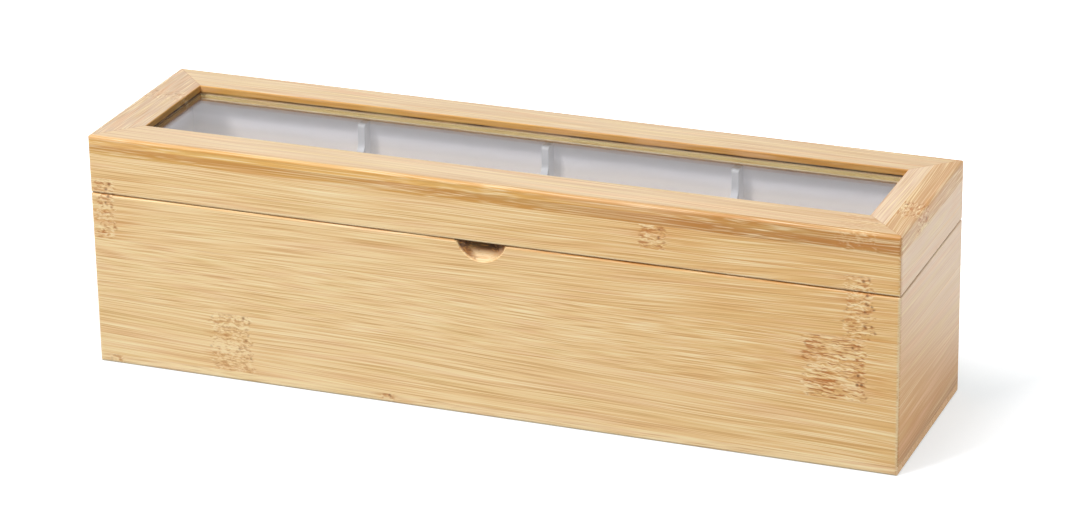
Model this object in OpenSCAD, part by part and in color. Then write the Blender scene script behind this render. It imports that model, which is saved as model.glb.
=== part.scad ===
// Tea bag box: a lined, four-compartment bamboo box with a hinged, windowed lid.
// Origin at the middle of the underside, +Z up, front towards -Y. Millimetres.

/* [Box] */
// Length of the box, left to right
box_l = 344; // [260:1:480]
// Depth of the box, front to back
box_w = 87; // [76:1:150]
// Height of the base, up to the middle of the parting gap
base_h = 75; // [55:1:140]
// Height of the closed lid above the middle of the parting gap
lid_h = 25; // [22:0.5:30]
// Gap between the base and the closed lid
parting_gap = 0.4; // [0.3:0.05:0.6]

/* [Bamboo walls] */
// Thickness of the walls of the base and the lid
wall_t = 7; // [6.5:0.5:12]
// Thickness of the bottom board
board_t = 4; // [3:0.5:8]
// Rounding of the upright corners
corner_r = 1.5; // [0.6:0.1:3]
// Rounding of the outer edges along the parting gap
arris_r = 0.8; // [0.3:0.1:1.5]
// Rounding of the edges around the underside
foot_r = 1.2; // [0.4:0.1:2]

/* [Thumb scoop] */
// Width of the scoop where it meets the parting gap
scoop_w = 21.6; // [14:0.2:34]
// Height of the scoop below the parting gap
scoop_h = 8; // [5:0.5:12]
// Depth of the scoop into the front wall
scoop_d = 5; // [3:0.5:5.5]

/* [Lid frame] */
// Width of the four mitred rails around the window
rail_w = 18; // [14:0.5:26]
// Thickness of the rails
rail_t = 8; // [7:0.5:10]
// Rounding of the outer top edge of the rails
rail_r = 1.5; // [0.5:0.1:2.5]
// Rounding of the top edge around the window
window_r = 0.6; // [0.2:0.1:1.2]
// Rounding of the lower edge around the window
lip_r = 1; // [0.3:0.1:2]

/* [Window pane] */
// Thickness of the clear pane
pane_t = 2; // [1.5:0.1:3]
// Depth of the pane's top face below the top of the rails
pane_drop = 3.5; // [2:0.1:4]
// Depth of the groove that holds the pane
groove_d = 5; // [3:0.5:8]
// Room between the pane's edge and the end of the groove
pane_clear = 0.5; // [0.2:0.1:1]
// Room above the pane in its groove
groove_clear = 0.2; // [0.1:0.05:0.4]

/* [White lining] */
// Thickness of the lining panels
lining_t = 3; // [3:0.5:5]
// Thickness of the lining sheet on the bottom board
lining_floor_t = 2; // [1:0.5:4]
// Gap between the top of the lining and the rails of the closed lid
lining_gap = 3; // [1:0.5:8]
// Distance below the parting gap at which the lining starts to lean inward
lean_start = 3; // [2.5:0.5:6]
// Room left between the lining and the lid as the lid swings
lid_clear = 0.4; // [0.3:0.1:0.8]

/* [Dividers] */
// Thickness of the dividers
divider_t = 3; // [2:0.5:6]
// Width of the raised ear at each end of a divider
ear_w = 6; // [3:0.5:14]
// Height of a divider's low middle above the parting gap
shoulder_rise = 1.5; // [-20:0.5:5]
// Radius at the foot of each ear
ear_foot_r = 5; // [1:0.5:7]
// Rounding of the top corner of each ear
ear_tip_r = 1.5; // [0.5:0.1:2.5]
// Depth of the slots in the lining that hold the dividers
slot_d = 1.2; // [0.5:0.1:2]
// Room around a divider in its slots
slot_clear = 0.1; // [0.05:0.05:0.3]

/* [Hinges] */
// Distance from each end of the box to the middle of the nearest hinge
hinge_inset = 57; // [30:1:110]
// Length of each hinge
hinge_l = 24; // [18:0.5:40]
// Diameter of the hinge barrel
barrel_d = 3.8; // [3.4:0.1:4.2]
// Diameter of the hinge pin
pin_d = 1.6; // [1.2:0.1:2]
// Radial running clearance of the pin in the lid's knuckle
pin_clear = 0.05; // [0.02:0.01:0.1]
// Gap between neighbouring knuckles, and around the barrel
knuckle_gap = 0.3; // [0.2:0.05:0.5]
// Distance of the hinge axis inside the back face
axis_inset = 1.1; // [0.8:0.1:1.5]
// Thickness of the hinge leaves
leaf_t = 0.8; // [0.6:0.1:1.2]
// Wall left between a leaf and the inner face of the wall
leaf_margin = 0.6; // [0.3:0.1:0.8]
// Room around a leaf in its mortise
mortise_clear = 0.1; // [0.05:0.05:0.2]
// Angle at which the bevelled back edges stop the lid
open_angle = 100; // [80:1:105]

/* [Hinge screws] */
// Distance between the two screws of a leaf
screw_pitch = 15; // [11:0.5:17]
// Diameter of a screw head
head_d = 2.4; // [2:0.1:2.6]
// Diameter of a screw shank
shank_d = 1.4; // [1:0.1:1.8]
// Length of a screw
screw_l = 7; // [5:0.5:12]
// Room around a screw head in its countersink
screw_clear = 0.05; // [0.02:0.01:0.1]
// Width of the cross recess in a screw head
recess_w = 0.35; // [0.2:0.05:0.5]

/* [Hidden] */
$fn = 48;

// How far a cut runs past the faces that it opens
over = 1;

// Levels
rim_z = base_h - parting_gap / 2;
lid_z = base_h + parting_gap / 2;
frame_z = base_h + lid_h - rail_t;
pane_z = base_h + lid_h - pane_drop - pane_t;
lining_z = board_t + lining_floor_t;
lining_top = frame_z - lining_gap;
lean_z = base_h - lean_start;

// Room inside the walls, and inside the lining
room_l = box_l - 2 * wall_t;
room_w = box_w - 2 * wall_t;
inside_l = room_l - 2 * lining_t;
inside_w = room_w - 2 * lining_t;

// The hinge axis runs along X just inside the back face, in the middle of the parting gap
axis_y = box_w / 2 - axis_inset;
hinge_x = box_l / 2 - hinge_inset;
barrel_r = barrel_d / 2;
pin_r = pin_d / 2;
knuckle_l = (hinge_l - 2 * knuckle_gap) / 3;
leaf_reach = wall_t - axis_inset - leaf_margin;
leaf_flat = leaf_reach - barrel_r - knuckle_gap;
screw_y = leaf_reach - leaf_flat / 2;
tip_l = shank_d;
recess_d = leaf_t / 2;
// Each half is bevelled a little past half the opening, so the bevels never quite meet
bevel_spare = 2;
bevel_angle = open_angle / 2 + bevel_spare;

// As the lid opens, its front wall sweeps inward over the lining by this much at the top
swing_r = axis_y + room_w / 2;
swing_in = swing_r - sqrt(pow(swing_r, 2) - pow(lining_top - base_h, 2));
lean = swing_in + lid_clear;

// Three dividers make four equal compartments
divider_pitch = (inside_l + divider_t) / 4;

// The scoop is part of a ball that stands in front of the wall and above the rim
scoop_face_r = (pow(scoop_w / 2, 2) + pow(scoop_h, 2)) / (2 * scoop_h);
scoop_out = (pow(scoop_w / 2, 2) - pow(scoop_d, 2)) / (2 * scoop_d);
scoop_ball_r = sqrt(pow(scoop_face_r, 2) + pow(scoop_out, 2));

bamboo = [0.89, 0.74, 0.52];
bamboo_dark = [0.84, 0.65, 0.38];
white = [0.93, 0.93, 0.93];
clear = [0.85, 0.92, 0.95, 0.35];
brass = [0.80, 0.64, 0.30];
steel = [0.72, 0.73, 0.75];

// The box has a front, right, back and left side. Its front and back are the long ones
function is_long(side) = side == "front" || side == "back";
function side_length(side) = is_long(side) ? box_l : box_w;
function side_offset(side) = (is_long(side) ? box_w : box_l) / 2;
function turn_of(side) = side == "front" ? 0 : side == "right" ? 90 : side == "back" ? 180 : 270;
// Which way the base or the lid lies from the parting gap
function way_of(half) = half == "base" ? -1 : 1;

// ---- Shapes that repeat ----

// What is cut off a section's corner at the origin to round it to radius r
module corner_cut(r) {
    difference() {
        translate([-over, -over]) square(r + over);
        translate([r, r]) circle(r);
    }
}

// Section w wide and h high, corner radii anticlockwise from the origin, 0 for sharp
module rounded_section(w, h, radii) {
    corners = [[0, 0], [w, 0], [w, h], [0, h]];
    difference() {
        square([w, h]);
        for (i = [0:3])
            if (radii[i] > 0)
                translate(corners[i]) rotate(90 * i) corner_cut(radii[i]);
    }
}

// Sweeps a section, drawn with x inward and y up, along X
module along_x(l) {
    rotate([90, 0, 90]) linear_extrude(l, center = true) children();
}

// Plan of one side with mitred ends, its outer face on y = 0, its upright corners rounded
module mitred_plan(l, w) {
    difference() {
        polygon([[-l / 2, 0], [l / 2, 0], [l / 2 - w, w], [-l / 2 + w, w]]);
        translate([-l / 2, 0]) corner_cut(corner_r);
        translate([l / 2, 0]) mirror([1, 0]) corner_cut(corner_r);
    }
}

// A mitred side of the box: a section w wide and h high, standing at height z
module mitred_side(side, w, h, z) {
    l = side_length(side);
    rotate(turn_of(side)) translate([0, -side_offset(side), z])
        intersection() {
            along_x(l) children();
            translate([0, 0, -over]) linear_extrude(h + 2 * over) mitred_plan(l, w);
        }
}

// The bevel along the back edge of the base or the lid, which clears the swing of the lid
module back_bevel(half) {
    way = way_of(half);
    reach = axis_inset + over;
    drop = parting_gap / 2 + reach * tan(bevel_angle);
    translate([0, axis_y, base_h])
        along_x(box_l + 2 * over)
            polygon([[0, way * parting_gap / 2], [reach, way * drop],
                     [reach, -way * over], [0, -way * over]]);
}

// ---- Base ----

module base_wall(side) {
    h = rim_z - board_t;
    color(bamboo)
        difference() {
            mitred_side(side, wall_t, h, board_t)
                rounded_section(wall_t, h, [0, 0, 0, side == "back" ? 0 : arris_r]);
            if (side != "front") back_bevel("base");
            if (side == "front") thumb_scoop();
            if (side == "back") hinge_cuts("base");
        }
}

module thumb_scoop() {
    translate([0, -box_w / 2 - scoop_out, rim_z - scoop_h + scoop_face_r])
        sphere(scoop_ball_r);
}

// Full-size board under the walls, its lower edges rounded
module bottom_board() {
    upright = [corner_r, corner_r, corner_r, corner_r];
    color(bamboo)
        intersection() {
            translate([-box_l / 2, -box_w / 2, 0])
                linear_extrude(board_t) rounded_section(box_l, box_w, upright);
            along_x(box_l) foot_section(box_w);
            rotate(90) along_x(box_w) foot_section(box_l);
        }
}

module foot_section(w) {
    translate([-w / 2, 0]) rounded_section(w, board_t, [foot_r, foot_r, 0, 0]);
}

// ---- White lining and dividers ----

module lining_floor() {
    color(white)
        translate([-room_l / 2, -room_w / 2, board_t]) cube([room_l, room_w, lining_floor_t]);
}

// Outside of the lining: upright in the base, leaning inward where it stands up into the lid
module lining_envelope() {
    intersection() {
        along_x(room_l) lining_profile(room_w / 2);
        rotate(90) along_x(room_w) lining_profile(room_l / 2);
    }
}

module lining_profile(half_w) {
    polygon([[-half_w, lining_z], [half_w, lining_z], [half_w, lean_z],
             [half_w - lean, lining_top], [-half_w + lean, lining_top], [-half_w, lean_z]]);
}

// The front and back linings run from wall to wall, and the end linings fit between them
module lining_wall(side) {
    l = is_long(side) ? room_l : inside_w;
    outer = side_offset(side) - wall_t;
    color(white)
        difference() {
            intersection() {
                lining_envelope();
                rotate(turn_of(side))
                    translate([-l / 2, -outer, lining_z])
                        cube([l, lining_t, lining_top - lining_z]);
            }
            if (is_long(side)) divider_slots();
        }
}

// Stopped slots in the front and back linings, up to where the lining starts to lean
module divider_slots() {
    w = divider_t + 2 * slot_clear;
    d = inside_w + 2 * slot_d;
    for (i = [-1:1])
        translate([i * divider_pitch - w / 2, -d / 2, lining_z - over])
            cube([w, d, lean_z - lining_z + over]);
}

// i is -1, 0 or 1, from left to right
module divider(i) {
    color(white)
        translate([i * divider_pitch, 0, 0]) along_x(divider_t) divider_outline();
}

// A tongue fits the slots, and a low middle between two ears leaves room for the fingers
module divider_outline() {
    tongue_w = inside_w + 2 * (slot_d - slot_clear);
    low_w = inside_w - 2 * ear_w;
    low_z = base_h + shoulder_rise;
    difference() {
        union() {
            translate([-inside_w / 2, lining_z]) square([inside_w, lining_top - lining_z]);
            translate([-tongue_w / 2, lining_z])
                square([tongue_w, lean_z - slot_clear - lining_z]);
        }
        translate([-low_w / 2, low_z])
            rounded_section(low_w, lining_top - low_z + over, [ear_foot_r, ear_foot_r, 0, 0]);
        translate([-low_w / 2, lining_top]) rotate(180) corner_cut(ear_tip_r);
        translate([low_w / 2, lining_top]) mirror([0, 1]) corner_cut(ear_tip_r);
    }
}

// ---- Lid ----

module lid_wall(side) {
    h = frame_z - lid_z;
    color(bamboo)
        difference() {
            mitred_side(side, wall_t, h, lid_z)
                rounded_section(wall_t, h, [side == "back" ? 0 : arris_r, 0, 0, 0]);
            if (side != "front") back_bevel("lid");
            if (side == "back") hinge_cuts("lid");
        }
}

// Mitred rail on top of the lid walls, grooved for the pane
module frame_rail(side) {
    color(bamboo_dark)
        mitred_side(side, rail_w, rail_t, frame_z)
            difference() {
                rounded_section(rail_w, rail_t, [0, lip_r, window_r, rail_r]);
                translate([rail_w - groove_d, pane_z - frame_z])
                    square([groove_d + over, pane_t + groove_clear]);
            }
}

module window_pane() {
    inset = rail_w - groove_d + pane_clear;
    l = box_l - 2 * inset;
    w = box_w - 2 * inset;
    color(clear) translate([-l / 2, -w / 2, pane_z]) cube([l, w, pane_t]);
}

// ---- Hinges, drawn about their own axis along X ----

// hand is -1 for the left hinge and 1 for the right
module at_hinge(hand) {
    translate([hand * hinge_x, axis_y, base_h]) children();
}

// The base's leaf carries the two outer knuckles, the lid's leaf the middle one
module hinge_leaf(half) {
    knuckles = half == "base" ? [-1, 1] : [0];
    bore_r = half == "base" ? pin_r : pin_r + pin_clear;
    plate_z = half == "base" ? -parting_gap / 2 - leaf_t : parting_gap / 2;
    color(brass)
        difference() {
            union() {
                translate([-hinge_l / 2, -leaf_reach, plate_z]) cube([hinge_l, leaf_flat, leaf_t]);
                for (i = knuckles)
                    translate([i * (knuckle_l + knuckle_gap) - knuckle_l / 2, 0, 0]) {
                        rotate([0, 90, 0]) cylinder(knuckle_l, r = barrel_r);
                        translate([0, -leaf_reach, plate_z]) cube([knuckle_l, leaf_reach, leaf_t]);
                    }
            }
            rotate([0, 90, 0]) cylinder(hinge_l + 2 * over, r = bore_r, center = true);
            at_screws(half) countersink();
        }
}

module hinge_pin() {
    color(steel) rotate([0, 90, 0]) cylinder(hinge_l, r = pin_r, center = true);
}

// What a wall loses to the hinges: a round channel for the barrel, a mortise and screw holes
module hinge_cuts(half) {
    l = hinge_l + 2 * mortise_clear;
    w = leaf_reach + mortise_clear;
    h = parting_gap / 2 + leaf_t;
    for (hand = [-1, 1])
        at_hinge(hand) {
            rotate([0, 90, 0])
                cylinder(hinge_l + 2 * knuckle_gap, r = barrel_r + knuckle_gap, center = true);
            translate([-l / 2, -w, half == "base" ? -h : -over]) cube([l, w, h + over]);
            at_screws(half) translate([0, 0, -screw_l]) cylinder(screw_l, d = shank_d);
        }
}

// Screws stand in the leaf's outer face and point into the wall
module at_screws(half) {
    for (i = [-1, 1])
        translate([i * screw_pitch / 2, -screw_y, way_of(half) * parting_gap / 2])
            rotate([half == "lid" ? 180 : 0, 0, 0]) children();
}

// Countersunk wood screw, its head's top at the origin, with a cross recess
module screw() {
    color(steel)
        difference() {
            rotate_extrude()
                polygon([[0, 0], [head_d / 2, 0], [shank_d / 2, -leaf_t],
                         [shank_d / 2, tip_l - screw_l], [0, -screw_l]]);
            for (a = [0, 90])
                rotate(a) cube([0.6 * head_d, recess_w, 2 * recess_d], center = true);
        }
}

// Conical hole through a leaf, parallel to the screw head
module countersink() {
    hole_r = shank_d / 2 + screw_clear;
    slope = (head_d - shank_d) / 2 / leaf_t;
    depth = leaf_t + over;
    translate([0, 0, -leaf_t]) cylinder(depth, r1 = hole_r, r2 = hole_r + slope * depth);
    translate([0, 0, -depth]) cylinder(depth, r = hole_r);
}

module hinge_screws(half) {
    for (hand = [-1, 1]) at_hinge(hand) at_screws(half) screw();
}

// ---- Nodes ----

base_wall("front");  // base_front_panel
base_wall("right");  // base_right_panel
base_wall("back");  // base_back_panel
base_wall("left");  // base_left_panel
bottom_board();
lining_floor();
lining_wall("front");  // lining_front
lining_wall("right");  // lining_right
lining_wall("back");  // lining_back
lining_wall("left");  // lining_left
divider(-1);  // divider_left
divider(0);  // divider_middle
divider(1);  // divider_right
at_hinge(-1) hinge_leaf("base");  // left_hinge_base_leaf
at_hinge(1) hinge_leaf("base");  // right_hinge_base_leaf
at_hinge(-1) hinge_pin();  // left_hinge_pin
at_hinge(1) hinge_pin();  // right_hinge_pin
hinge_screws("base");  // base_hinge_screws
lid_wall("front");  // lid_front_wall
lid_wall("right");  // lid_right_wall
lid_wall("back");  // lid_back_wall
lid_wall("left");  // lid_left_wall
frame_rail("front");  // frame_front_rail
frame_rail("right");  // frame_right_rail
frame_rail("back");  // frame_back_rail
frame_rail("left");  // frame_left_rail
window_pane();
at_hinge(-1) hinge_leaf("lid");  // left_hinge_lid_leaf
at_hinge(1) hinge_leaf("lid");  // right_hinge_lid_leaf
hinge_screws("lid");  // lid_hinge_screws
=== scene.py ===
"""Finishes for a lined bamboo tea box with a hinged, windowed lid, and the studio it stands in."""

import math
import random

import bpy
from mathutils import Matrix, Vector

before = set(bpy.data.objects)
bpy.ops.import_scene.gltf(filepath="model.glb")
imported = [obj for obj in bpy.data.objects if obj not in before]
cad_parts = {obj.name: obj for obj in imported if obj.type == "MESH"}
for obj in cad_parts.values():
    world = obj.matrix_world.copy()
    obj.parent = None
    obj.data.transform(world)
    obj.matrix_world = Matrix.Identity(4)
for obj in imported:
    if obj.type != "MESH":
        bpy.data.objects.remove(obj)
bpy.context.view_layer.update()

bl_info = {
    "name": "Bamboo Tea Box",
    "version": (1, 0, 0),
    "blender": (4, 5, 0),
    "location": "3D View > Sidebar > Tea Box",
    "description": "Finishes the parts of a bamboo tea box and lights it",
    "category": "Object",
}

MM = 0.001
X_AXIS, Y_AXIS, Z_AXIS = range(3)
WHITE = (1.0, 1.0, 1.0)

# Half the box and half its window, in millimetres
HALF_LENGTH, HALF_DEPTH = 172.0, 43.5
WINDOW_HALF_LENGTH, WINDOW_HALF_DEPTH = 154.0, 25.5

# Heights in millimetres, from the floor up. The layers are the two that show on the outer sides
# of the window frame.
PARTING = 75.0
LINING_TOP = 89.0
FRAME_FOOT = 92.0
LAYERS_MEET = 96.4
PANE_TOP = 96.5
BOX_TOP = 100.0


def tone(red, green, blue):
    """A colour as a screen shows it, 0 to 255, as the linear numbers that a shader takes."""
    shares = (red / 255, green / 255, blue / 255)
    return tuple(s / 12.92 if s <= 0.04045 else ((s + 0.055) / 1.055) ** 2.4 for s in shares)


# ---- Shader maths ----


class Value:
    """A number or a colour that varies over a surface, read from a node's socket. Arithmetic on it
    adds Math nodes."""

    def __init__(self, paint, socket):
        self.paint = paint
        self.socket = socket

    def maths(self, operation, *terms):
        return self.paint.node("ShaderNodeMath", {"operation": operation}, dict(enumerate(terms)))

    def __add__(self, other):
        return self.maths("ADD", self, other)

    __radd__ = __add__

    def __sub__(self, other):
        return self.maths("SUBTRACT", self, other)

    def __rsub__(self, other):
        return self.maths("SUBTRACT", other, self)

    def __mul__(self, other):
        return self.maths("MULTIPLY", self, other)

    __rmul__ = __mul__

    def __truediv__(self, other):
        return self.maths("DIVIDE", self, other)

    def __abs__(self):
        return self.maths("ABSOLUTE", self)

    def floor(self):
        return self.maths("FLOOR", self)

    def most(self, other):
        return self.maths("MAXIMUM", self, other)

    def least(self, other):
        return self.maths("MINIMUM", self, other)

    def fade(self, start, end):
        """0 up to start and 1 from end on, with a soft change between."""
        return self.paint.node(
            "ShaderNodeMapRange",
            {"interpolation_type": "SMOOTHSTEP"},
            {"Value": self, "From Min": start, "From Max": end},
        )


class Paint:
    """The nodes of a material or of the world."""

    # A Mix node's sockets for colours. Those for numbers have the same names.
    MIX_SHARE, MIX_FIRST, MIX_SECOND, MIX_RESULT = 0, 6, 7, 2

    def __init__(self, owner):
        self.owner = owner
        owner.use_nodes = True
        self.tree = owner.node_tree
        self.tree.nodes.clear()

    def node(self, kind, settings=None, inputs=None, output=0):
        """Adds a node, gives it its settings and then its inputs, and returns one of its outputs,
        or a list where output names several."""
        node = self.tree.nodes.new(kind)
        for name, setting in (settings or {}).items():
            setattr(node, name, setting)
        for name, given in (inputs or {}).items():
            socket = node.inputs[name]
            if isinstance(given, Value):
                self.tree.links.new(given.socket, socket)
            elif socket.type == "RGBA":
                socket.default_value = (*given, 1.0)
            else:
                socket.default_value = given
        if isinstance(output, tuple):
            return [Value(self, node.outputs[name]) for name in output]
        return Value(self, node.outputs[output]) if node.outputs else None

    def place(self):
        """Where a point of the piece is, in millimetres."""
        metres = self.node("ShaderNodeTexCoord", output="Object")
        return self.vector("MULTIPLY", metres, (1 / MM,) * 3)

    def vector(self, operation, *terms):
        return self.node("ShaderNodeVectorMath", {"operation": operation}, dict(enumerate(terms)))

    def split(self, vector):
        """The three numbers of a vector."""
        return self.node("ShaderNodeSeparateXYZ", None, {0: vector}, output=("X", "Y", "Z"))

    def join(self, *numbers):
        """The vector of three numbers."""
        return self.node("ShaderNodeCombineXYZ", None, dict(enumerate(numbers)))

    def noise(self, place, size, detail=2.0, seed=0.0, rough=0.5, wander=0.0):
        """Smooth noise around 0.5 whose features are about as long, wide and deep as size says."""
        scaled = self.vector("MULTIPLY_ADD", place, tuple(1 / s for s in size), (seed,) * 3)
        inputs = {
            "Vector": scaled,
            "Scale": 1.0,
            "Detail": detail,
            "Roughness": rough,
            "Distortion": wander,
        }
        return self.node("ShaderNodeTexNoise", None, inputs)

    def blend(self, share, first, second):
        """The first colour where share is 0, and the second where it is 1."""
        inputs = {self.MIX_SHARE: share, self.MIX_FIRST: first, self.MIX_SECOND: second}
        return self.node("ShaderNodeMix", {"data_type": "RGBA"}, inputs, self.MIX_RESULT)

    def coats(self, colour, *coats):
        """A colour with others laid over it in turn. Each is given with the share it covers."""
        for share, coat in coats:
            colour = self.blend(share, colour, coat)
        return colour

    def bump(self, height, depth, strength):
        """The surface's direction where it has a relief of depth metres."""
        inputs = {"Height": height, "Distance": depth, "Strength": strength}
        return self.node("ShaderNodeBump", None, inputs)

    def shader(self, **sockets):
        """A Principled shader. A keyword is a socket's name, with _ for each space."""
        inputs = {name.replace("_", " "): given for name, given in sockets.items()}
        return self.node("ShaderNodeBsdfPrincipled", None, inputs)

    def either(self, share, first, second):
        """The first shader where share is 0, and the second where it is 1."""
        return self.node("ShaderNodeMixShader", None, {0: share, 1: first, 2: second})

    def seen(self):
        """1 for what shows directly, in a reflection or through the pane, and 0 for what lights
        the box."""
        kinds = ("Is Camera Ray", "Is Glossy Ray", "Is Transmission Ray")
        straight, glossy, through = self.node("ShaderNodeLightPath", output=kinds)
        return straight.most(glossy).most(through)

    def finish(self, shader):
        """Shows the shader, and returns the material or the world."""
        kind = "World" if isinstance(self.owner, bpy.types.World) else "Material"
        self.node(f"ShaderNodeOutput{kind}", None, {"Surface": shader})
        return self.owner


def new_paint(name):
    """An empty material."""
    return Paint(bpy.data.materials.new(name))


def cover(material, *names):
    """Gives CAD nodes a finish."""
    for name in names:
        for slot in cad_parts[name].material_slots:
            slot.material = material


# ---- Bamboo ----

# The boards are glued up from strips. A strip's number counts from the strip whose lower edge
# is at the board's first joint. A knot is where it is along the grain, its strip, its length,
# and how strongly it shows. All lengths are in millimetres.
STRIP_WIDTH = 26.3
WALL_JOINT = 3.0
BOTTOM_JOINT = 4.0
LONG_RAIL_JOINT = -22.0
SHORT_RAIL_JOINT = 162.6
FRONT_KNOTS = [
    (-111.0, 0, 18.0, 0.75),
    (146.0, 1, 25.0, 1.0),
    (-165.5, 2, 8.0, 0.9),
    (155.5, 2, 11.0, 0.9),
    (72.0, 3, 11.0, 0.9),
]
LEFT_KNOTS = [(-18.0, 1, 14.0, 0.8)]
BOTTOM_FRONT_KNOTS = [(-41.0, -2, 5.0, 0.7), (-163.0, -2, 6.0, 0.6)]
LONG_RAIL_KNOTS = [(154.0, -1, 16.0, 0.3)]
SHORT_RAIL_KNOTS = [(-15.0, 0, 15.0, 1.0), (10.0, -13, 10.0, 0.5)]


def scattered_knots(seed, strips):
    """Knots at random on a long board, one in each strip."""
    pick = random.Random(seed)
    reach = 160
    return [
        (pick.uniform(-reach, reach), strip, pick.uniform(9.0, 20.0), pick.uniform(0.6, 0.9))
        for strip in strips
    ]


def knot_marks(paint, board, along, strip, knots, seed):
    """How much a point shows of a knot's core, of its rim, and of the warm wood beside it. Each
    knot crosses its own strip only."""
    core = rim = beside = 0.0
    ragged = paint.noise(board, (40.0, 2.2, 4.0), detail=3.0, seed=seed + 5.0, rough=0.6)
    for at, number, length, strength in knots:
        half = length / 2
        shift = along - at + (ragged - 0.5) * 10.0
        here = abs(strip - number).fade(0.6, 0.4) * strength
        inside = abs(shift).fade(half + 0.6, half - 0.8) * here
        ends = shift.fade(half - 6.0, half - 3.5).most(shift.fade(2.0 - half, 1.0 - half) * 0.4)
        near = shift.fade(half + 22.0, half) * shift.fade(-half - 6.0, -half) * here
        core = inside.most(core)
        rim = (ends * inside).most(rim)
        beside = near.most(beside)
    return core, rim, beside


def bamboo(name, look, wood, grain, across, joint, knots, seed, figure=1.0):
    """Bamboo strips glued side by side, with the fibres along one axis and the strips across
    another. wood gives the colour that the fibres are drawn on, and where it is cut across them.
    figure is how strongly the fibres show."""
    paint = new_paint(name)
    x, y, z = place = paint.split(paint.place())
    along, side = place[grain], place[across]
    depth = place[X_AXIS + Y_AXIS + Z_AXIS - grain - across]
    board = paint.join(along, side, depth)

    # Strips, each with three numbers of its own
    count = (side - joint) / look.strip_width_mm
    strip = count.floor()
    from_joint = (count - strip) * look.strip_width_mm
    to_joint = look.strip_width_mm - from_joint
    lots = paint.node(
        "ShaderNodeTexWhiteNoise", {"noise_dimensions": "1D"}, {"W": strip + seed}, "Color"
    )
    first, second, third = paint.split(lots)

    # Fibres run along the grain, lean a little in each strip, and waver in the knots
    core, rim, beside = knot_marks(paint, board, along, strip, knots, seed)
    sway = paint.noise(board, (150.0, 40.0, 30.0), detail=1.0, seed=seed)
    bend = paint.noise(board, (4.0, 2.6, 4.0), detail=1.0, seed=seed + 3.0)
    leaning = side + (sway - 0.5) * 6.0 + along * (0.5 - first) * 0.05
    swayed = leaning + (bend - 0.5) * core * 3.0
    fibres = paint.join(along / (third + 0.55) + first * 900, swayed, depth + third * 60)
    broad = paint.noise(fibres, (120.0, 6.0, 8.0), detail=1.0, seed=seed + 1.0)
    cloud = paint.noise(fibres, (26.0, 3.2, 5.0), seed=seed + 2.0)
    streak = paint.noise(fibres, (50.0, 1.1, 1.4), seed=seed + 4.0, rough=0.6)
    fine = paint.noise(fibres, (34.0, 0.40, 0.5), detail=1.0, seed=seed + 6.0)
    hue = paint.noise(fibres, (40.0, 3.5, 4.0), detail=1.0, seed=seed + 7.0)
    grade = (
        (fine - 0.5) * 2.7
        + (streak - 0.5) * 0.22
        + (broad - 0.5) * 0.45
        + (cloud - 0.5) * (0.05 + second * 0.4)
        + (0.5 - first) * 0.06
    ) * figure

    # Short fibres and specks in the knots
    short = paint.join(along / (second * second * 2.0 + 0.7), leaning, depth)
    dashes = paint.noise(short, (2.9, 0.85, 1.1), seed=seed + 8.0, rough=0.6, wander=0.5)
    spots = {"Vector": paint.vector("MULTIPLY", board, (0.38, 0.38, 0.3)), "Scale": 1.0}
    specks = paint.node("ShaderNodeTexVoronoi", None, spots)

    # Glue lines lie between the strips, and in the mitres at the lid's corners
    off_mitre = abs((HALF_LENGTH - abs(x)) - (HALF_DEPTH - abs(y)))
    off_mitre = off_mitre + z.fade(PARTING + 1.0, PARTING - 0.5)

    colour, cut = wood(paint, x, y, z)
    colour = paint.coats(
        colour,
        (hue.fade(0.52, 0.72) * 0.25, look.olive),
        (hue.fade(0.48, 0.28) * 0.35, look.rose),
        (beside * cloud.fade(0.46, 0.66) * 0.55, look.honey),
        (beside * cloud.fade(0.44, 0.28) * 0.35, look.light),
        ((grade * -1.0).most(0.0), look.dark),
        ((grade * 1.35).most(0.0) * (1 - cut), look.light),
        (dashes.fade(0.50, 0.64) * core * (0.6 + second * 0.4), look.knot),
        (dashes.fade(0.47, 0.34) * core * 0.75, look.light),
        (specks.fade(0.42, 0.26) * rim * 0.5, look.knot),
        (specks.fade(0.26, 0.14) * rim * 0.7, look.speck),
        (from_joint.fade(0.55, 0.15) * 0.40, look.honey),
        (to_joint.fade(0.70, 0.25) * 0.35, look.light),
        (off_mitre.fade(0.28, 0.06) * 0.45, look.knot),
    )
    glue = from_joint.fade(0.3, 0.0) * 0.5
    relief = fine * 0.5 + streak * 0.4 - glue - off_mitre.fade(0.25, 0.0)
    return paint.finish(
        paint.shader(
            Base_Color=colour,
            Roughness=0.52 + (broad - 0.5) * 0.15 + (fine - 0.5) * 0.2 + cut * 0.2,
            Coat_Weight=(0.08 + (cloud - 0.5) * 0.1) * (1 - cut),
            Coat_Roughness=0.32,
            Normal=paint.bump(relief, depth=0.06 * MM, strength=0.5),
        )
    )


# ---- Properties ----


def colour_property(name, description, default):
    return bpy.props.FloatVectorProperty(
        name=name,
        description=description,
        default=default,
        subtype="COLOR",
        size=3,
        min=0.0,
        max=1.0,
    )


def power_property(name, description, default):
    return bpy.props.FloatProperty(
        name=name, description=description, default=default, min=0.0, unit="POWER"
    )


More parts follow.
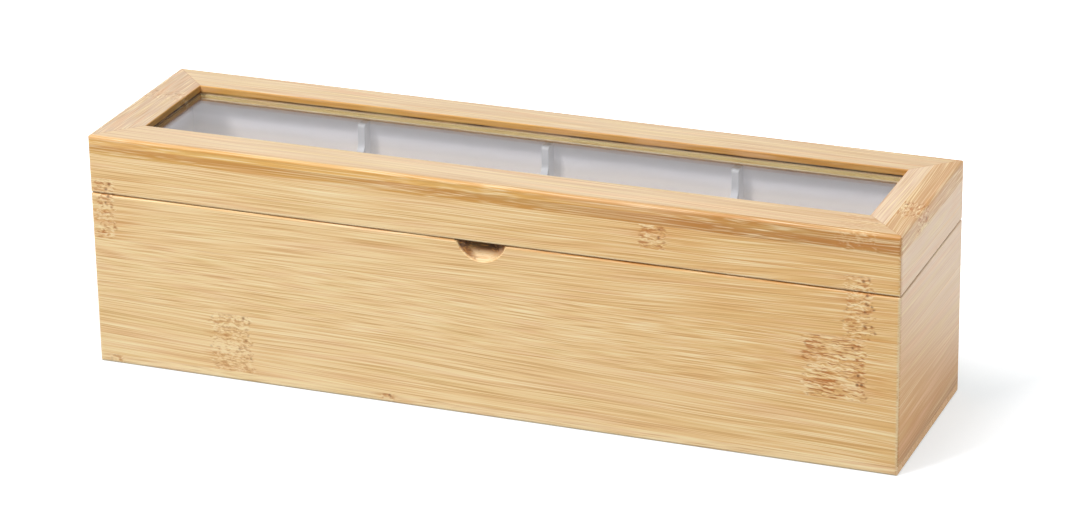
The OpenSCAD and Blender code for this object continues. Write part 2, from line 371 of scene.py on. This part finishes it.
class BambooLook(bpy.types.PropertyGroup):
    """The bamboo that the walls and the window frame are made of."""

    strip_width_mm: bpy.props.FloatProperty(
        name="Strip Width",
        description="Width of one bamboo strip, in millimetres",
        default=STRIP_WIDTH,
        min=8.0,
        max=60.0,
    )
    pale: colour_property("Pale Wood", "Colour of the walls' palest wood", tone(244, 211, 156))
    warm: colour_property("Warm Wood", "Colour of the walls' warmest wood", tone(233, 190, 126))
    top: colour_property("Frame Wood", "Colour of the window frame's top", tone(223, 197, 163))
    rosy: colour_property(
        "Rosy Wood", "Colour of the pinkish wood in the end walls", tone(234, 206, 178)
    )
    edge: colour_property(
        "Edge Wood", "Colour of the upper layer on the frame's edges", tone(234, 184, 100)
    )
    core: colour_property(
        "Core Wood", "Colour of the lower layer on the frame's edges", tone(190, 132, 60)
    )
    foot: colour_property(
        "Foot Wood", "Colour of the end walls' wood near the foot", tone(208, 152, 82)
    )
    # Also the colour of painted shadow, in the gap above the pane and in the thumb scoop's top
    gap: colour_property(
        "Gap", "Colour of the dark gap between the frame and the pane", tone(48, 28, 12)
    )
    lip: colour_property(
        "Lip Wood", "Colour of the frame's inner sides below the pane", tone(238, 214, 152)
    )
    # Painted light for the lip's rim, which faces down
    rim: colour_property("Lip Rim", "Colour of the rounded rim below the lip", tone(255, 250, 228))
    honey: colour_property("Honey", "Colour of the warm patches beside a knot", tone(214, 150, 72))
    olive: colour_property("Olive", "Colour of the greenish fibres", tone(228, 200, 132))
    rose: colour_property("Rose", "Colour of the reddish fibres", tone(236, 190, 148))
    # Also painted as light on rounded corners, rims and edges that lie in shade
    light: colour_property("Light Fibre", "Colour of the lightest fibres", tone(255, 236, 193))
    dark: colour_property("Dark Fibre", "Colour of the darkest fibres", tone(196, 138, 66))
    knot: colour_property("Knot", "Colour of the short fibres in a knot", tone(180, 108, 40))
    speck: colour_property("Speck", "Colour of the specks around a knot", tone(104, 66, 24))
    # Partly painted shade: it also darkens the thumb scoop's upper part and left flank
    cut: colour_property("Cut", "Colour of the end grain inside the thumb scoop", tone(136, 88, 44))


class LiningLook(bpy.types.PropertyGroup):
    """The white lining and dividers."""

    # Painted light and shade by height on one white board: white near the top, cream where the lamp
    # falls, and a grey band for the back rail's shadow
    white: colour_property("Lining", "Colour of the lining near its top", tone(252, 247, 254))
    cream: colour_property("Lower Lining", "Colour of the lining further down", tone(230, 216, 208))
    grey: colour_property(
        "Greyer Lining", "Colour of the greyer band below the top", tone(176, 172, 182)
    )
    # The dividers are the same white board, painted greyer as if in shade
    divider: colour_property(
        "Dividers", "Colour of the dividers near their tops", tone(202, 199, 204)
    )
    divider_cream: colour_property(
        "Lower Dividers", "Colour of the dividers further down", tone(226, 220, 221)
    )
    # Painted shade for the dividers' edges at the foot and the ears' tips
    divider_edge: colour_property(
        "Divider Edges", "Colour of the dividers' sawn edges", tone(170, 167, 172)
    )


class PaneLook(bpy.types.PropertyGroup):
    """The clear pane in the lid."""

    tint: colour_property("Tint", "Colour that the pane lets through", tone(250, 252, 253))
    gloss: bpy.props.FloatProperty(
        name="Roughness",
        description="Roughness of the polished faces",
        default=0.02,
        min=0.0,
        max=0.3,
        subtype="FACTOR",
    )


class MetalLook(bpy.types.PropertyGroup):
    """Hinges, pins and screws."""

    brass: colour_property("Brass", "Colour of the hinge leaves", tone(214, 178, 104))
    brass_dull: colour_property(
        "Dull Brass", "Colour of the brass where it has dulled", tone(176, 138, 72)
    )
    steel: colour_property("Steel", "Colour of the pins and screws", tone(200, 200, 202))
    steel_dull: colour_property(
        "Dull Steel", "Colour of the steel where it has dulled", tone(150, 150, 154)
    )


class StudioLook(bpy.types.PropertyGroup):
    """The floor, the lamps and the surrounding light."""

    surround: bpy.props.FloatProperty(
        name="Surround",
        description="Strength of the light from all round",
        default=0.12,
        min=0.0,
        max=2.0,
    )
    backdrop: bpy.props.FloatProperty(
        name="Backdrop",
        description="How bright the surroundings look, where 1 is white",
        default=1.0,
        min=0.0,
        max=1.0,
    )
    key_power: power_property("Key Lamp", "Power of the lamp at the front left", 37.5)
    key_tint: colour_property(
        "Key Colour", "Colour of the lamp at the front left", (1.0, 0.965, 0.925)
    )
    top_power: power_property("Top Lamp", "Power of the large lamp overhead", 24.0)
    side_power: power_property("Side Lamp", "Power of the lamp at the right", 6.7)
    back_power: power_property("Back Lamp", "Power of the lamp behind the box", 5.5)
    floor: colour_property("Floor", "Colour of the floor as it is seen", tone(203, 205, 209))
    floor_bounce: colour_property(
        "Floor Bounce", "Colour that the floor throws on the box", tone(150, 150, 150)
    )
    floor_glow: colour_property(
        "Floor Lift", "How much paler the floor looks beside the box", (0.52, 0.548, 0.556)
    )


# ---- Walls and bottom ----


class TEABOX_OT_front_and_back(bpy.types.Operator):
    """Finish the long walls of the base and the lid"""

    bl_idname = "tea_box.front_and_back"
    bl_label = "Long Walls"

    def execute(self, context):
        look = context.scene.tea_box_bamboo

        def front_wood(paint, x, y, z):
            warm = (x + z * 1.2).fade(20.0, 230.0).most(z.fade(77.0, 85.0) * 0.25)
            # Painted shade on the base's top arris, which damps its highlight, more towards the
            # right
            shaded_base_rim = z.fade(PARTING - 0.9, PARTING - 0.5) * z.fade(PARTING, PARTING - 0.1)
            # Painted light on the lid wall's lower rounded edge, which faces down
            lid_rim = z.fade(PARTING + 1.4, PARTING + 0.7) * z.fade(PARTING, PARTING + 0.2)
            # Painted shade on the lid wall just below the frame, towards the right
            shaded_under_frame = z.fade(FRAME_FOOT - 4.0, FRAME_FOOT - 0.5) * x.fade(60.0, 150.0)
            # Painted light on the base's rounded right front corner, whose rounding lies in shade
            corner = x.fade(HALF_LENGTH - 1.6, HALF_LENGTH - 0.6) * z.fade(PARTING, PARTING - 0.5)

            # The thumb scoop is cut across the fibres. Its upper part and left flank are darker,
            # partly as end grain and partly as painted shade, and shade is the painted shadow that
            # the lid casts into its top
            recess = y.fade(0.1 - HALF_DEPTH, 0.9 - HALF_DEPTH) * z.fade(64.0, 66.0)
            scoop = recess * z.fade(PARTING + 0.1, PARTING - 0.1) * abs(x).fade(12.0, 11.0)
            end_grain_and_shade = z.fade(68.0, 72.0).most(x.fade(-1.0, -6.0)).most(x.fade(6.0, 10.0) * 0.1)
            shade = scoop * z.fade(70.4, 72.8) * x.fade(10.5, 8.0)
            pores = paint.noise(paint.join(x, y, z), (1.6, 1.6, 0.7), detail=1.0, seed=31.0)

            wood = paint.coats(
                look.pale,
                (warm, look.warm),
                (shaded_base_rim * (x.fade(-90.0, 30.0) * 0.62 + 0.28), look.dark),
                (lid_rim * 0.9, look.light),
                (shaded_under_frame * 0.42, look.core),
                (corner * 0.6, look.light),
                (scoop * 0.6, look.light),
                (scoop * end_grain_and_shade, look.cut),
                (shade * 0.85, look.gap),
                (scoop * pores.fade(0.56, 0.64) * x.fade(2.0, -5.0) * 0.7, look.speck),
            )
            return wood, scoop

        def back_wood(paint, x, y, z):
            return paint.blend(x.fade(-200.0, 200.0), look.pale, look.warm), 0.0

        strips = {"grain": X_AXIS, "across": Z_AXIS, "joint": WALL_JOINT}
        back_knots = scattered_knots(4, range(4))
        front = bamboo("front bamboo", look, front_wood, **strips, knots=FRONT_KNOTS, seed=765.0)
        back = bamboo("back bamboo", look, back_wood, **strips, knots=back_knots, seed=23.0)
        cover(front, "base_front_panel", "lid_front_wall")
        cover(back, "base_back_panel", "lid_back_wall")
        return {"FINISHED"}


class TEABOX_OT_ends(bpy.types.Operator):
    """Finish the short walls of the base and the lid"""

    bl_idname = "tea_box.ends"
    bl_label = "End Walls"

    def execute(self, context):
        look = context.scene.tea_box_bamboo

        def right_wood(paint, x, y, z):
            # Painted light on the base's rounded front corner, whose rounding lies in shade
            corner = y.fade(1.0 - HALF_DEPTH, 0.3 - HALF_DEPTH) * z.fade(PARTING, PARTING - 0.5)
            # Painted shade along the lid wall's lower edge, in the parting line
            lid_rim = z.fade(PARTING + 0.9, PARTING + 0.5) * z.fade(PARTING, PARTING + 0.1)
            wood = paint.coats(
                look.rosy,
                # Warmer and darker towards the front and the foot, partly as wood tone and partly
                # as painted shade
                ((y * -0.5 - z).fade(-75.0, -5.0), look.foot),
                (corner * 0.6, look.light),
                (lid_rim * 0.6, look.speck),
                # Painted shade near the foot, beside the box's shadow on the floor
                (z.fade(26.0, 4.0) * 0.5, look.knot),
                (z.fade(11.0, 3.0) * 0.3, look.speck),
            )
            return wood, 0.0

        def left_wood(paint, x, y, z):
            return paint.blend(z.fade(80.0, 20.0), look.pale, look.warm), 0.0

        strips = {"grain": Y_AXIS, "across": Z_AXIS, "joint": WALL_JOINT}
        right = bamboo(
            "right bamboo", look, right_wood, **strips, knots=[], seed=37.0, figure=0.5
        )
        left = bamboo("left bamboo", look, left_wood, **strips, knots=LEFT_KNOTS, seed=41.0)
        cover(right, "base_right_panel", "lid_right_wall")
        cover(left, "base_left_panel", "lid_left_wall")
        return {"FINISHED"}


class TEABOX_OT_bottom(bpy.types.Operator):
    """Finish the bottom board"""

    bl_idname = "tea_box.bottom"
    bl_label = "Bottom Board"

    def execute(self, context):
        look = context.scene.tea_box_bamboo

        def board_wood(paint, x, y, z):
            wood = paint.coats(
                look.pale,
                (x.fade(0.0, 170.0), look.warm),
                # Painted shade on the board's right end, below the end wall's painted shade at the
                # foot
                (x.fade(HALF_LENGTH - 1.2, HALF_LENGTH - 0.4) * 0.55, look.knot),
                # Painted light on the board's front, which lies low beside the floor
                (y.fade(1.5 - HALF_DEPTH, 0.5 - HALF_DEPTH) * 0.5, look.light),
            )
            return wood, 0.0

        board = bamboo(
            "bottom bamboo",
            look,
            board_wood,
            grain=X_AXIS,
            across=Y_AXIS,
            joint=BOTTOM_JOINT,
            knots=[*BOTTOM_FRONT_KNOTS, *scattered_knots(9, range(-1, 2))],
            seed=53.0,
            figure=0.9,
        )
        cover(board, "bottom_board")
        return {"FINISHED"}


# ---- Window frame ----


class TEABOX_OT_window_frame(bpy.types.Operator):
    """Finish the four mitred rails around the window"""

    bl_idname = "tea_box.window_frame"
    bl_label = "Window Frame"

    def execute(self, context):
        look = context.scene.tea_box_bamboo

        def rail_wood(paint, top, side, inside, z, darker, shadow):
            """The rail's top, the two layers that its outer side shows, and its inner side with the
            painted shadow in the gap above the pane. darker turns both sides towards the lower
            layer's colour, and shadow is how dark that painted shadow is."""
            paler_foot = z.fade(FRAME_FOOT + 3.0, FRAME_FOOT + 0.5) * 0.3
            lower = z.fade(LAYERS_MEET, LAYERS_MEET - 0.5) * (0.75 - paler_foot)
            layers = paint.blend((lower + darker).least(1.0), look.edge, look.core)
            above_pane = paint.blend(darker * 0.55 + 0.5, look.edge, look.core)
            lip = paint.coats(
                look.lip,
                (z.fade(PANE_TOP - 0.2, PANE_TOP + 0.3), above_pane),
                # Painted light on the rounded rim below the lip, which faces down
                (z.fade(FRAME_FOOT + 1.3, FRAME_FOOT + 0.8), look.rim),
            )
            # Painted shadow in the thin gap above the pane
            gap = inside * z.fade(PANE_TOP + 1.1, PANE_TOP + 0.7)
            gap = gap * z.fade(PANE_TOP - 0.4, PANE_TOP - 0.1) * shadow
            return paint.coats(top, (side, layers), (inside, lip), (gap, look.gap)), inside * 0.8

        def long_wood(paint, x, y, z):
            inside = abs(y).fade(WINDOW_HALF_DEPTH + 0.5, WINDOW_HALF_DEPTH + 0.2)
            side = abs(y).fade(HALF_DEPTH - 1.6, HALF_DEPTH - 0.3)
            warm = x.fade(40.0, 150.0) * (0.15 + y.fade(0.0, -10.0) * 0.2)
            top = paint.blend(warm, look.top, look.foot)
            darker = x.fade(-80.0, 170.0) * 0.75
            shadow = x.fade(-170.0, -70.0) * 0.4 + 0.6
            wood, cut = rail_wood(paint, top, side, inside, z, darker, shadow)
            right = x.fade(30.0, 160.0)
            seam = side * z.fade(LAYERS_MEET, LAYERS_MEET - 0.8)
            seam = seam * z.fade(FRAME_FOOT + 1.6, FRAME_FOOT + 2.4)
            # Painted shade on the rail's top outer arris, which damps the lamp's highlight there,
            # more towards the right
            shaded_arris = abs(y).fade(HALF_DEPTH - 2.5, HALF_DEPTH - 1.5)
            shaded_arris = shaded_arris * z.fade(BOX_TOP - 2.6, BOX_TOP - 1.4)
            wood = paint.coats(
                wood,
                (side * right * 0.3, look.knot),
                (side * right * 0.14, look.speck),
                (seam * x.fade(30.0, 140.0) * 0.35, look.knot),
                (shaded_arris * (x.fade(20.0, 150.0) * 0.5 + 0.42), look.core),
            )
            return wood, cut

        def short_wood(paint, x, y, z):
            inside = abs(x).fade(WINDOW_HALF_LENGTH + 0.5, WINDOW_HALF_LENGTH + 0.2)
            side = x.fade(1.0 - HALF_LENGTH, 0.2 - HALF_LENGTH)
            right, left = x.fade(0.0, 1.0), x.fade(-150.0, -WINDOW_HALF_LENGTH)
            outer = x.fade(SHORT_RAIL_JOINT - 0.3, SHORT_RAIL_JOINT + 0.4)
            top = paint.coats(
                look.rosy, (outer * 0.65, look.foot), (outer * 0.08 + left * 0.21, look.gap)
            )
            wood, cut = rail_wood(paint, top, side, inside, z, darker=right, shadow=1.0)
            shaded = inside * left * z.fade(PANE_TOP, PANE_TOP - 0.3) * 0.6
            return paint.blend(shaded, wood, look.knot), cut

        long_rails = bamboo(
            "long rail bamboo",
            look,
            long_wood,
            grain=X_AXIS,
            across=Y_AXIS,
            joint=LONG_RAIL_JOINT,
            knots=LONG_RAIL_KNOTS,
            seed=67.0,
            figure=0.75,
        )
        short_rails = bamboo(
            "short rail bamboo",
            look,
            short_wood,
            grain=Y_AXIS,
            across=X_AXIS,
            joint=SHORT_RAIL_JOINT,
            knots=SHORT_RAIL_KNOTS,
            seed=71.0,
            figure=0.9,
        )
        cover(long_rails, "frame_front_rail", "frame_back_rail")
        cover(short_rails, "frame_right_rail", "frame_left_rail")
        return {"FINISHED"}


# ---- Lining, pane and hinges ----


def white_board(name, fresh, cream, grey, seed, shadowed=None):
    """Smooth white board with painted light and shade by height: kept whiter near its top against
    the back rail's shadow, with a greyer band for that shadow, and creamier where the lamp falls
    below it, turning white again lower down. The optional colour after the seed, for a divider, is
    painted shade on its edge at the foot and on the tip of the ear at the back."""
    paint = new_paint(name)
    place = paint.place()
    patches = paint.noise(place, (60.0, 60.0, 12.0), detail=3.0, seed=seed)
    grit = paint.noise(place, (0.7, 0.7, 0.7), seed=seed + 1.0)
    _, y, z = paint.split(place)
    height = z + (patches - 0.5) * 6.0
    # Painted shade: creamier where the lamp falls, to tone its light down
    creamy = height.fade(84.0, 77.0) * height.fade(54.0, 70.0)

    # Painted shadow of the back rail: at the back wall the grey goes on almost to the top
    back = y.fade(29.0, 31.0)
    band = height.fade(75.5, 79.0) * height.fade(84.5, 82.0).most(back) * 0.22
    upper = height.fade(80.5, 84.5) * z.fade(LINING_TOP + 1.0, LINING_TOP - 1.5) * back * 0.42
    colour = paint.coats(fresh, (creamy, cream), (band.most(upper), grey))
    # Painted shade on a divider's edge at the foot and on the ear's tip, in place of their
    # highlights
    if shadowed is not None:
        foot = y.fade(28.2, 27.8) * y.fade(21.0, 22.0) * z.fade(64.0, 72.0)
        tip = z.fade(87.2, 88.0) * y.fade(31.0, 29.5) * y.fade(26.0, 27.0)
        colour = paint.blend(foot.most(tip), colour, shadowed)
    return paint.finish(
        paint.shader(
            Base_Color=colour,
            Roughness=0.55 + (patches - 0.5) * 0.2,
            Normal=paint.bump(grit, depth=0.03 * MM, strength=0.4),
        )
    )


class TEABOX_OT_lining(bpy.types.Operator):
    """Finish the white lining and the dividers"""

    bl_idname = "tea_box.lining"
    bl_label = "Lining and Dividers"

    def execute(self, context):
        look = context.scene.tea_box_lining
        lining = white_board("white lining", look.white, look.cream, look.grey, seed=0.0)
        divider = white_board(
            "white divider",
            look.divider,
            look.divider_cream,
            look.grey,
            seed=5.0,
            shadowed=look.divider_edge,
        )
        cover(lining, *[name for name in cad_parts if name.startswith("lining")])
        cover(divider, *[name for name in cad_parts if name.startswith("divider")])
        return {"FINISHED"}


class TEABOX_OT_pane(bpy.types.Operator):
    """Finish the clear pane of the window"""

    bl_idname = "tea_box.pane"
    bl_label = "Window Pane"

    def execute(self, context):
        look = context.scene.tea_box_pane
        paint = new_paint("clear pane")
        dust = paint.noise(paint.place(), (25.0, 9.0, 5.0), detail=4.0)
        clear = paint.shader(
            Base_Color=look.tint,
            Roughness=look.gloss + dust.fade(0.5, 0.8) * 0.03,
            IOR=1.49,
            Specular_IOR_Level=0.25,
            Transmission_Weight=1.0,
        )
        lets_light_in = paint.node("ShaderNodeBsdfTransparent", None, {"Color": look.tint})
        kinds = ("Is Shadow Ray", "Diffuse Depth")
        shadow, scattered = paint.node("ShaderNodeLightPath", output=kinds)
        light = shadow.most(scattered.least(1.0))
        cover(paint.finish(paint.either(light, clear, lets_light_in)), "window_pane")
        return {"FINISHED"}


def metal(name, bright, dull, seed, roughness):
    """Metal with fine marks and slightly dulled patches."""
    paint = new_paint(name)
    place = paint.place()
    patches = paint.noise(place, (5.0, 5.0, 5.0), detail=3.0, seed=seed)
    marks = paint.noise(place, (6.0, 0.12, 0.12), seed=seed + 1.0)
    return paint.finish(
        paint.shader(
            Base_Color=paint.blend(patches.fade(0.42, 0.75), bright, dull),
            Metallic=1.0,
            Roughness=roughness + (patches - 0.5) * 0.2 + (marks - 0.5) * 0.15,
            Normal=paint.bump(marks, depth=0.01 * MM, strength=0.5),
        )
    )


class TEABOX_OT_hinges(bpy.types.Operator):
    """Finish the hinges, their pins and their screws"""

    bl_idname = "tea_box.hinges"
    bl_label = "Hinges"

    def execute(self, context):
        look = context.scene.tea_box_metal
        brass = metal("brass", look.brass, look.brass_dull, seed=3.0, roughness=0.28)
        steel = metal("steel", look.steel, look.steel_dull, seed=8.0, roughness=0.30)
        cover(brass, *[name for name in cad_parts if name.endswith("leaf")])
        cover(steel, *[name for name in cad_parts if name.endswith(("pin", "screws"))])
        return {"FINISHED"}


# ---- Studio ----

# In metres
FLOOR_SIZE = 12.0
BOX_MIDDLE = (0.0, 0.0, 0.05)

# Where the camera is, from the point that it looks at: how far round from the front, how far up
# and how far away in metres. The point is in millimetres. The camera rolls about its own axis.
CAMERA_LENS = 133.588
CAMERA_AROUND = math.radians(21.4957)
CAMERA_ABOVE = math.radians(22.1519)
CAMERA_ROLL = math.radians(-0.9806)
CAMERA_DISTANCE = 1.62264
CAMERA_TARGET = (7.890, 0.0, 53.002)


def aim(thing, start, target, roll=0.0):
    """Puts a lamp or a camera at start and points it at target."""
    back = (start - target).normalized()
    right = Vector((0, 0, 1)).cross(back).normalized()
    up = back.cross(right)
    turned = math.cos(roll) * right + math.sin(roll) * up
    raised = math.cos(roll) * up - math.sin(roll) * right
    axes = Matrix((turned, raised, back)).transposed()
    thing.matrix_world = Matrix.Translation(start) @ axes.to_4x4()


def lamp(name, power, size, start, target=BOX_MIDDLE, tint=WHITE):
    """Adds a soft lamp. Its size is its width and height in metres."""
    data = bpy.data.lights.new(name, "AREA")
    data.shape = "RECTANGLE"
    data.energy = power
    data.color = tint
    data.size, data.size_y = size
    thing = bpy.data.objects.new(name, data)
    bpy.context.scene.collection.objects.link(thing)
    aim(thing, Vector(start), Vector(target))


def add_floor(look):
    """Adds a floor that shows the box's soft shadow, and turns white away from the box."""
    bpy.ops.object.select_all(action="DESELECT")
    bpy.ops.mesh.primitive_plane_add(size=FLOOR_SIZE, location=(0.0, 0.0, 0.0))
    floor = bpy.context.object
    floor.name = "floor"
    paint = new_paint("floor")
    seen = paint.seen()
    matt = paint.shader(Base_Color=look.floor_bounce, Roughness=0.9, Specular_IOR_Level=0.0)
    x, y, _ = paint.split(paint.place())

    # The distance from the box, which grows more slowly in front of it and behind it
    away = (abs(x) - HALF_LENGTH).most((abs(y) - 26.0) * 0.7)
    lifted = paint.shader(
        Base_Color=look.floor,
        Roughness=0.9,
        Specular_IOR_Level=0.0,
        Emission_Color=paint.blend(away.fade(0.0, 75.0), look.floor_glow, WHITE),
        Emission_Strength=1.0,
    )
    floor.data.materials.append(paint.finish(paint.either(seen, matt, lifted)))


def add_surround(scene, look):
    """Adds dim light from all round, which is white where it shows."""
    scene.world = bpy.data.worlds.new("surround")
    sky = Paint(scene.world)
    dim, bright = (
        sky.node("ShaderNodeBackground", None, {"Color": WHITE, "Strength": strength})
        for strength in (look.surround, look.backdrop)
    )
    sky.finish(sky.either(sky.seen(), dim, bright))


def add_camera(scene):
    """Adds the camera, a little to the right of the box's front and above it."""
    data = bpy.data.cameras.new("camera")
    data.lens = CAMERA_LENS
    scene.camera = bpy.data.objects.new("camera", data)
    scene.collection.objects.link(scene.camera)
    level = math.cos(CAMERA_ABOVE)
    back = Vector(
        (
            math.sin(CAMERA_AROUND) * level,
            -math.cos(CAMERA_AROUND) * level,
            math.sin(CAMERA_ABOVE),
        )
    )
    target = Vector(CAMERA_TARGET) * MM
    aim(scene.camera, target + back * CAMERA_DISTANCE, target, CAMERA_ROLL)


class TEABOX_OT_studio(bpy.types.Operator):
    """Add the floor, the lamps, the surrounding light and the camera"""

    bl_idname = "tea_box.studio"
    bl_label = "Studio"

    def execute(self, context):
        scene = context.scene
        look = scene.tea_box_studio
        scene.view_settings.view_transform = "Standard"
        add_floor(look)
        add_surround(scene, look)
        lamp("key lamp", look.key_power, (0.55, 0.55), (-0.925, -1.405, 1.90), tint=look.key_tint)
        lamp("top lamp", look.top_power, (1.80, 1.80), (0.0, -0.90, 1.70))
        lamp("side lamp", look.side_power, (1.20, 0.09), (1.30, 0.30, 0.05), (0.1, 0.0, 0.05))
        lamp("back lamp", look.back_power, (1.20, 0.09), (-0.40, 1.30, 0.05), (-0.1, 0.0, 0.05))
        add_camera(scene)
        return {"FINISHED"}


# ---- The add-on ----

PIECES = (
    TEABOX_OT_front_and_back,
    TEABOX_OT_ends,
    TEABOX_OT_bottom,
    TEABOX_OT_window_frame,
    TEABOX_OT_lining,
    TEABOX_OT_pane,
    TEABOX_OT_hinges,
    TEABOX_OT_studio,
)
LOOKS = {
    "tea_box_bamboo": BambooLook,
    "tea_box_lining": LiningLook,
    "tea_box_pane": PaneLook,
    "tea_box_metal": MetalLook,
    "tea_box_studio": StudioLook,
}


class TEABOX_PT_panel(bpy.types.Panel):
    """The tea box's settings and its pieces in order"""

    bl_idname = "TEABOX_PT_panel"
    bl_label = "Tea Box"
    bl_space_type = "VIEW_3D"
    bl_region_type = "UI"
    bl_category = "Tea Box"

    def draw(self, context):
        for name, look in LOOKS.items():
            box = self.layout.box()
            for field in look.__annotations__:
                box.prop(getattr(context.scene, name), field)
        for piece in PIECES:
            self.layout.operator(piece.bl_idname)


def register():
    for kind in (*LOOKS.values(), *PIECES, TEABOX_PT_panel):
        bpy.utils.register_class(kind)
    for name, look in LOOKS.items():
        setattr(bpy.types.Scene, name, bpy.props.PointerProperty(type=look))


def unregister():
    for name in LOOKS:
        delattr(bpy.types.Scene, name)
    for kind in (TEABOX_PT_panel, *reversed(PIECES), *reversed(LOOKS.values())):
        bpy.utils.unregister_class(kind)


def main():
    register()
    for piece in PIECES:
        group, action = piece.bl_idname.split(".")
        getattr(getattr(bpy.ops, group), action)()


if __name__ == "__main__":
    main()
